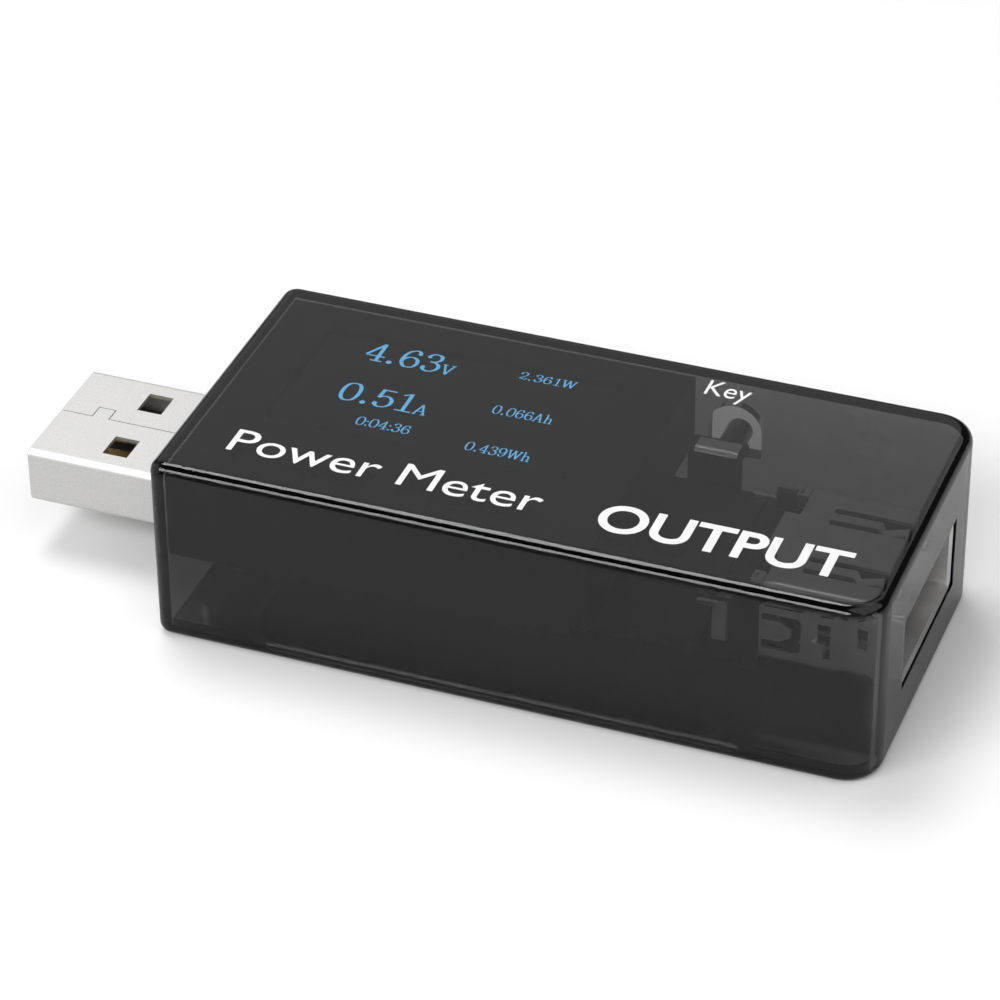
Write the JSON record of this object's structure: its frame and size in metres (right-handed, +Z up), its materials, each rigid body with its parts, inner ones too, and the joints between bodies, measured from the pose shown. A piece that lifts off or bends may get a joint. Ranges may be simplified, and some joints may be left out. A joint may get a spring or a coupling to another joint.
{
  "type": "usb power meter",
  "caption": "Plug-in power meter: smoked see-through case with a standard A plug at one end, an A socket at the other, a small display under the top wall and a push key behind a window",
  "frame": {"origin": "on the flat underside, halfway along the whole length with the plug, and halfway across the case", "axes": "+X runs from the plug to the socket, +Y towards the side wall with the key, +Z up out of the top wall over the display"},
  "size_m": [0.0684, 0.027, 0.0151],
  "materials": {
    "smoked_plastic": "polished, smoked and see-through, with sharp reflections",
    "plug_nickel": "satin nickel plate on folded steel sheet",
    "socket_nickel": "nickel-plated sheet with a fine grain",
    "black_moulding": "fine matt black nylon moulding",
    "contact_gold": "gold flash over nickel",
    "board_mask": "black solder mask over glass laminate",
    "key_plastic": "smooth dark nylon",
    "clip_steel": "bright stainless spring sheet",
    "display_glass": "thin dark display glass",
    "display_film": "dark polariser film",
    "display_foam": "black adhesive foam",
    "flex_film": "amber polyimide ribbon",
    "silicon": "bare silicon, mirror-like",
    "chip_epoxy": "moulded epoxy, fine matt",
    "tinned_lead": "tin plate with soft solder sheen",
    "shunt_alloy": "coated metal strip",
    "capacitor_ceramic": "fired ceramic, slightly rough",
    "resistor_glaze": "black glazed film"
  },
  "bodies": {
    "case": {"upper_housing": "smoked_plastic", "bottom_cover": "smoked_plastic", "plug_shell": "plug_nickel", "socket_shell": "socket_nickel", "socket_board_locks": "socket_nickel", "plug_insulator": "black_moulding", "socket_insulator": "black_moulding", "switch_body": "black_moulding", "display_holder": "black_moulding", "plug_contacts": "contact_gold", "socket_contacts": "contact_gold", "main_board": "board_mask", "switch_clip": "clip_steel", "switch_dome": "clip_steel", "switch_terminals": "clip_steel", "oled_front_glass": "display_glass", "oled_rear_glass": "display_glass", "oled_polariser": "display_film", "display_tape": "display_foam", "display_flex": "flex_film", "oled_driver_chip": "silicon", "microcontroller": "chip_epoxy", "memory_chip": "chip_epoxy", "sense_amplifier": "chip_epoxy", "clamp_diode": "chip_epoxy", "voltage_regulator": "chip_epoxy", "microcontroller_legs": "tinned_lead", "memory_chip_legs": "tinned_lead", "sense_amplifier_legs": "tinned_lead", "power_part_legs": "tinned_lead", "current_shunt_ends": "tinned_lead", "chip_part_ends": "tinned_lead", "current_shunt": "shunt_alloy", "chip_capacitors": "capacitor_ceramic", "chip_resistors": "resistor_glaze"},
    "key": {"key_plunger": "key_plastic"}
  },
  "joints": [
    {"name": "key_press", "type": "slide", "parent": "case", "child": "key", "axis": [0, -1, 0], "range_m": [0, 0.00025], "stiffness_N_per_m": 900}
  ]
}
